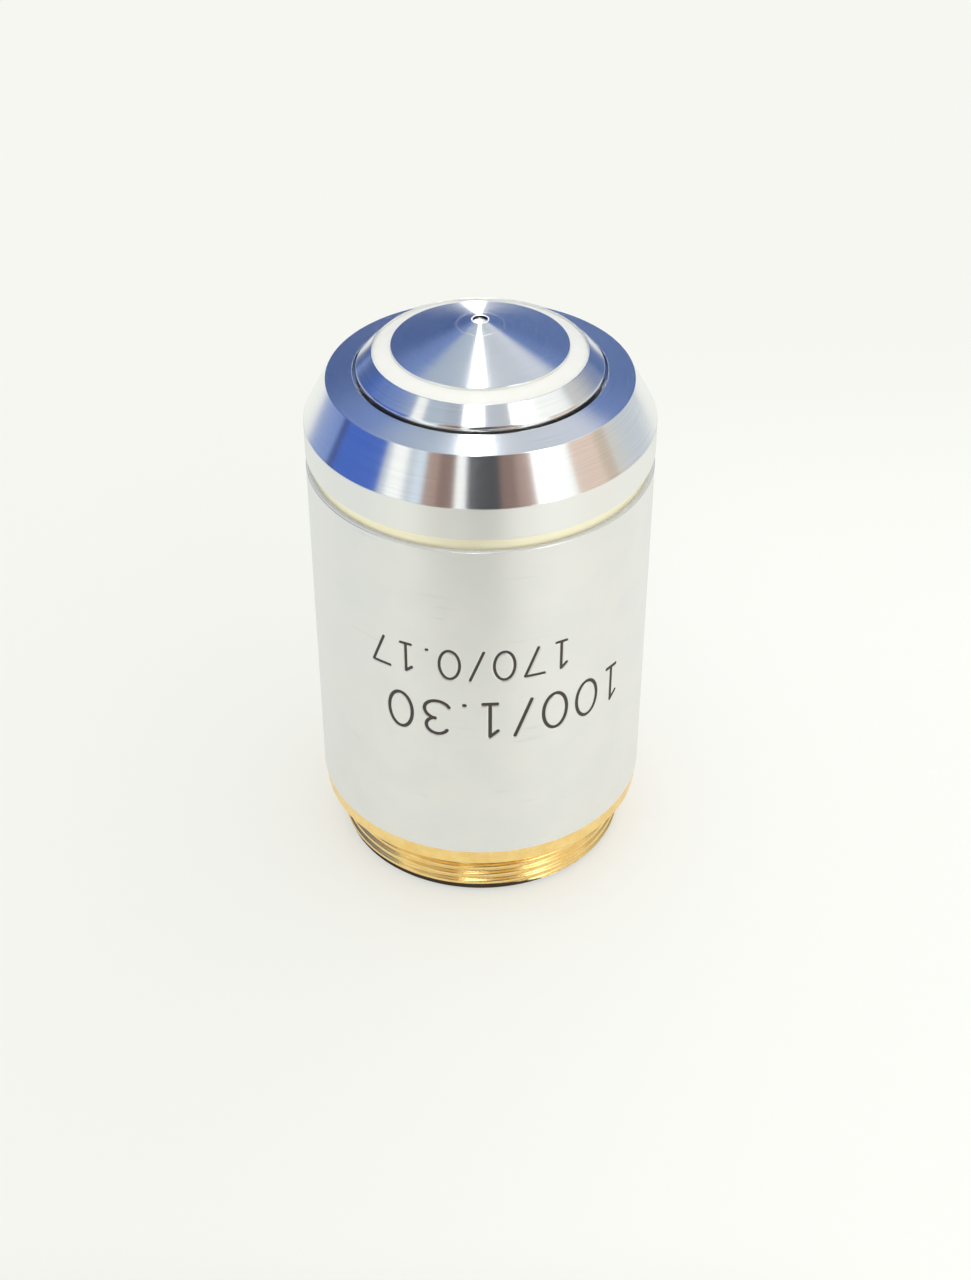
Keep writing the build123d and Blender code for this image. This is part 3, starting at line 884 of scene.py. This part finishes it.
# %% [markdown]
# The rear thread is the standard one of microscopes: 36 turns to the inch, flanks at 55 degrees to
# each other and 20.3 mm across the crests. Here the crests are worn round and the groove is shallower
# than the full form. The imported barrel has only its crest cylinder, so the grooves are cut into it.
# The outline is filled with close rows over the thread's length, and each point is pulled in to the
# lower of the outline and the groove. The chamfer at the end and the undercut below the shoulder then
# cut across the turns, as they do on the real thing.

# %% Barrel with its thread
thread_pitch = 25.4 / 36
groove_half_angle = math.radians(27.5)
crest_radius = 10.16
crest_flat = 0.03
crest_round = 0.24 * thread_pitch
rows_per_millimetre = 34
outside_from_radius = 9.0
thread_from_radius = 9.3
filled_past_thread = 0.2
cut_past_thread = 0.25


def groove_depth(height, angle):
    """Depth under the thread's crest: a narrow flat, a round edge, a short flank and a round root.

    The place along the pitch is height - pitch * angle / a full turn. Each arc spans its radius times
    the cosine of the half angle, and the flank falls by 1 / tan(half angle) for each millimetre.
    """
    place = (height / thread_pitch - angle / (2 * math.pi)) % 1.0
    aside = np.maximum(np.abs(place - 0.5) * thread_pitch - crest_flat, 0)
    arc_reach = crest_round * math.cos(groove_half_angle)
    arc_drop = crest_round * (1 - math.sin(groove_half_angle))
    half_groove = thread_pitch / 2 - crest_flat
    flank_drop = (half_groove - 2 * arc_reach) / math.tan(groove_half_angle)
    crest = crest_round - np.sqrt(np.maximum(crest_round ** 2 - aside ** 2, 0))
    root_aside = half_groove - aside
    root_arc = np.sqrt(np.maximum(crest_round ** 2 - root_aside ** 2, 0))
    root = 2 * arc_drop + flank_drop - crest_round + root_arc
    flank = arc_drop + (aside - arc_reach) / math.tan(groove_half_angle)
    return np.where(aside < arc_reach, crest, np.where(root_aside < arc_reach, root, flank))


def filled(outline, low, high, rows_per_mm):
    """The outline with close rows wherever a run on the outside lies between two heights."""
    points = []
    for start, end in zip(outline, np.roll(outline, -1, axis=0)):
        outside = min(start[0], end[0]) > outside_from_radius
        within = outside and max(start[1], end[1]) > low and min(start[1], end[1]) < high
        steps = max(1, round(np.linalg.norm(end - start) * rows_per_mm)) if within else 1
        points.append(start + (end - start) * np.linspace(0, 1, steps, endpoint=False)[:, None])
    return np.vstack(points)


barrel_outline, _ = outline_of("barrel")
on_crest = barrel_outline[np.isclose(barrel_outline[:, 0], crest_radius, atol=0.01)]
thread_top = on_crest[:, 1].max()
eased_barrel = eased(barrel_outline, True, broken_edge)
threaded = filled(eased_barrel, 0.0, thread_top + filled_past_thread, rows_per_millimetre)
barrel_angles = even_angles(outer_steps)
barrel_points = spun(threaded, barrel_angles)
on_thread = (threaded[:, 0] > thread_from_radius) & (threaded[:, 1] < thread_top + cut_past_thread)
cut = crest_radius - groove_depth(threaded[:, 1:], barrel_angles)
barrel_radius = np.where(on_thread[:, None], np.minimum(threaded[:, :1], cut), threaded[:, :1])
barrel_points[..., 0] = barrel_radius * np.cos(barrel_angles)
barrel_points[..., 1] = barrel_radius * np.sin(barrel_angles)
barrel = surface("barrel_threaded", barrel_points, True)
thread_depth = float(groove_depth(0, 0))
print("thread: pitch", round(thread_pitch, 4), "depth", round(thread_depth, 3), "top at", float(thread_top))
dress(barrel, "barrel")

# %% [markdown]
# The barrel's wall has one more feature, a counterbored hole for the screw that keys the lens tube.
# It isn't round about the axis, so it is cut with a boolean, by two pegs along Y that take their place
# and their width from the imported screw.

# %% Screw hole
screw_low, screw_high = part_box("guide_screw")
screw_height = (screw_low.z + screw_high.z) / 2 / MM
head_radius = (screw_high.x - screw_low.x) / 2 / MM
shank_radius = 0.9
hole_fit = 0.02
head_height = 0.85
head_seat = screw_high.y / MM - head_height
peg_steps = 96
into_counterbore = 0.5
beyond_barrel = 14.0
sharp_from_angle = math.radians(35)


def peg(name, radius, start, end):
    """A closed round peg along Y at the screw's height."""
    drawing = np.array([[0, 0], [radius, 0], [radius, end - start], [0, end - start]], float)
    points = spun(drawing, even_angles(peg_steps))
    upright = points.copy()
    points[..., 1] = start + upright[..., 2]
    points[..., 2] = screw_height + upright[..., 0]
    points[..., 0] = upright[..., 1]
    return surface(name, points, False)


def cut_away(piece, tool):
    """Take the tool's volume out of the piece with a boolean, and keep only the result."""
    modifier = piece.modifiers.new("cut", "BOOLEAN")
    modifier.object = tool
    modifier.operation = "DIFFERENCE"
    modifier.solver = "EXACT"
    held = piece.evaluated_get(bpy.context.evaluated_depsgraph_get())
    mesh = bpy.data.meshes.new_from_object(held)
    piece.modifiers.clear()
    piece.data = mesh
    bpy.data.objects.remove(tool)


barrel_before = len(barrel.data.polygons)
cut_away(barrel, peg("shank_peg", shank_radius + hole_fit, 0.0, head_seat + into_counterbore))
cut_away(barrel, peg("head_peg", head_radius + hole_fit, head_seat, beyond_barrel))
barrel.data.polygons.foreach_set("use_smooth", np.ones(len(barrel.data.polygons), bool))
barrel.data.set_sharp_from_angle(angle=sharp_from_angle)
print("faces before and after drilling:", barrel_before, len(barrel.data.polygons))

# %% [markdown]
# The sleeve is engraved with two lines of plain numbers. They are upside down as the objective stands
# here, because they are read when it hangs nose down. A digit is a few strokes, straight lines and
# arcs, as the engraver's cutter runs them. The sleeve needs one number at each point, the distance to the
# nearest stroke: the surface sinks where it is under half the cutter's width, and the same number
# tells the finish where the dark fill lies, so the edge of a stroke stays sharp between two points.

# %% The engraver's strokes
def straight(*corners):
    """A stroke through a few corners."""
    return np.array(corners, float)


def bow(centre, width, height, start, end):
    """Part of an ellipse, from one angle to another in degrees, anticlockwise from the right."""
    angles = np.radians(np.linspace(start, end, max(4, int(abs(end - start) / 8))))
    return np.column_stack([centre[0] + width * np.cos(angles), centre[1] + height * np.sin(angles)])


strokes_of = {
    "0": [bow((0, 0.5), 0.31, 0.52, 0, 360)],
    "1": [straight((-0.16, 0.83), (0.03, 1.0), (0.03, 0.0)), straight((-0.14, 0.0), (0.20, 0.0))],
    "3": [bow((-0.02, 0.76), 0.27, 0.24, 155, -80), bow((-0.03, 0.27), 0.32, 0.27, 80, -155)],
    "7": [straight((-0.30, 1.0), (0.30, 1.0), (-0.10, 0.0))],
    "/": [straight((-0.20, -0.02), (0.20, 1.02))],
    ".": [straight((-0.015, 0.05), (0.015, 0.05))],
}
room_of = {"0": 0.90, "1": 0.82, "3": 0.92, "7": 0.92, "/": 0.72, ".": 0.45}
far_from_strokes = 9.0


def line_of_strokes(text, first_centre, base, cap_height, spread=1.0):
    """The strokes of a line of numbers, as (arc length round the sleeve, height) in millimetres.

    The line runs towards lower arc lengths and its digits point down, because it is read nose down.
    """
    placed = []
    centre = first_centre
    for i, character in enumerate(text):
        if i:
            centre -= (room_of[text[i - 1]] + room_of[character]) / 2 * cap_height * spread
        for stroke in strokes_of[character]:
            x, y = stroke.T
            placed.append(np.column_stack([centre - x * cap_height, base - y * cap_height]))
    return placed


def distance_to(strokes, across, up):
    """Distance from each point to the nearest piece of any stroke, in whole arrays.

    For a piece from a to b, the nearest place is a + t (b - a) with t = (p - a).(b - a) / |b - a|^2,
    held between 0 and 1.
    """
    nearest = np.full(across.shape, far_from_strokes)
    for stroke in strokes:
        for (ax, ay), (bx, by) in zip(stroke[:-1], stroke[1:]):
            dx, dy = bx - ax, by - ay
            t = np.clip(((across - ax) * dx + (up - ay) * dy) / (dx * dx + dy * dy), 0, 1)
            nearest = np.minimum(nearest, np.hypot(across - ax - t * dx, up - ay - t * dy))
    return nearest


large_line = line_of_strokes("100/1.30", first_centre=9.93, base=18.18, cap_height=2.74, spread=1.01)
small_line = line_of_strokes("170/0.17", first_centre=5.46, base=22.36, cap_height=2.16, spread=1.02)
print("strokes in the two lines:", len(large_line), len(small_line))

# %% [markdown]
# The sleeve's grid is close where the numbers are and open elsewhere, which keeps it well under two
# hundred thousand triangles. Angles are counted from the front, where the camera stands.

# %% Engraved sleeve
large_cutter = 0.25
small_cutter = 0.20
engraving_depth = 0.07
close_step = 0.055
plain_step_angle = math.radians(2.5)
same_radius = 1e-3
long_rise = 10
edge_slope_width = 0.12

sleeve_outline, _ = outline_of("outer_sleeve")
sleeve_radius = sleeve_outline[:, 0].max()
both_lines = np.vstack(large_line + small_line)
margin = 0.4
left_arc, low_edge = both_lines.min(axis=0) - margin
right_arc, high_edge = both_lines.max(axis=0) + margin
close_angles = np.arange(left_arc, right_arc, close_step) / sleeve_radius
open_angles = np.linspace(right_arc / sleeve_radius, left_arc / sleeve_radius + 2 * math.pi,
                          int((2 * math.pi - np.ptp(close_angles)) / plain_step_angle))
front = -math.pi / 2
round_angles = np.concatenate([close_angles, open_angles[:-1]])
sleeve_rows = eased(sleeve_outline, True, broken_edge)
on_wall = sleeve_rows[:, 0] > sleeve_radius - same_radius
rise_to_next = np.roll(sleeve_rows[:, 1], -1) - sleeve_rows[:, 1]
wall_end = int(np.argmax(on_wall & (rise_to_next > long_rise)))
close_heights = np.arange(low_edge, high_edge, close_step)
wall_rows = np.column_stack([np.full(len(close_heights), sleeve_radius), close_heights])
sleeve_rows = np.vstack([sleeve_rows[:wall_end + 1], wall_rows, sleeve_rows[wall_end + 1:]])

sleeve_points = spun(sleeve_rows, front + round_angles)
arc_length = sleeve_radius * ((round_angles + math.pi) % (2 * math.pi) - math.pi)
across, up = np.broadcast_arrays(arc_length[None, :], sleeve_rows[:, 1:])
from_stroke = np.minimum(distance_to(large_line, across, up) - large_cutter / 2,
                         distance_to(small_line, across, up) - small_cutter / 2)
on_outside = sleeve_rows[:, :1] > sleeve_radius - same_radius
from_stroke = np.where(on_outside, from_stroke, 1.0)
sink = engraving_depth * np.clip(0.5 - from_stroke / edge_slope_width, 0, 1)
sleeve_points[..., 0] *= 1 - sink / sleeve_radius
sleeve_points[..., 1] *= 1 - sink / sleeve_radius
sleeve = surface("engraved_sleeve", sleeve_points, True)
engraved = sleeve.data.attributes.new("from_stroke", "FLOAT", "POINT")
engraved.data.foreach_set("value", np.clip(from_stroke, -1, 1).ravel().astype(np.float32))
dress(sleeve, "outer_sleeve")
sleeve.data.materials[0] = filled_plate

# %% [markdown]
# The return spring is wound steel wire with closed ends that are ground flat. Its middle line is a
# helix whose rise changes with the turn: one closed turn, five open ones and one closed turn. The wire
# is a circle carried along it, and the grinding is done by holding every point between the two ends.

# %% Return spring
wire_radius = 0.35
closed_turns = 1.0
open_turns = 5.0
spring_low, spring_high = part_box("return_spring")
spring_base, spring_top = spring_low.z / MM, spring_high.z / MM
spring_radius = spring_high.x / MM - wire_radius
coil_gap = 0.04
closed_rise = 2 * wire_radius + coil_gap
turn_steps = 72
wire_steps = 16

turns_in_all = 2 * closed_turns + open_turns
winding = np.linspace(0, turns_in_all, int(turns_in_all * turn_steps))
corners_of_rise = [0, closed_turns, closed_turns + open_turns, turns_in_all]
rises = [0, closed_rise, spring_top - spring_base - closed_rise, spring_top - spring_base]
wire_height = spring_base + np.interp(winding, corners_of_rise, rises)
wire_round = even_angles(wire_steps)
wire_angle = 2 * math.pi * winding
out = spring_radius + wire_radius * np.cos(wire_round)[:, None]
lift = wire_height + wire_radius * np.sin(wire_round)[:, None]
ground = np.clip(lift, spring_base, spring_top)
spring_points = np.stack([out * np.cos(wire_angle), out * np.sin(wire_angle), ground], axis=-1)
spring_points = spring_points.transpose(1, 0, 2)
ends = [np.repeat(spring_points[i].mean(axis=0)[None, None], wire_steps, axis=1) for i in (0, -1)]
spring_points = np.concatenate([ends[0], spring_points, ends[1]], axis=0)
spring = surface("wound_spring", spring_points, False)
dress(spring, "return_spring")
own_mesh(spring)

# %% [markdown]
# Three slotted pieces and the key screw aren't round all the way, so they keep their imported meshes.
# They get their finish directly.

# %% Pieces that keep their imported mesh
for node in nodes:
    if nodes[node].hide_render:
        continue
    nodes[node].data.materials.clear()
    nodes[node].data.materials.append(finishes[slot_of_node[node]])
    print("kept:", node, "in", slot_of_node[node])
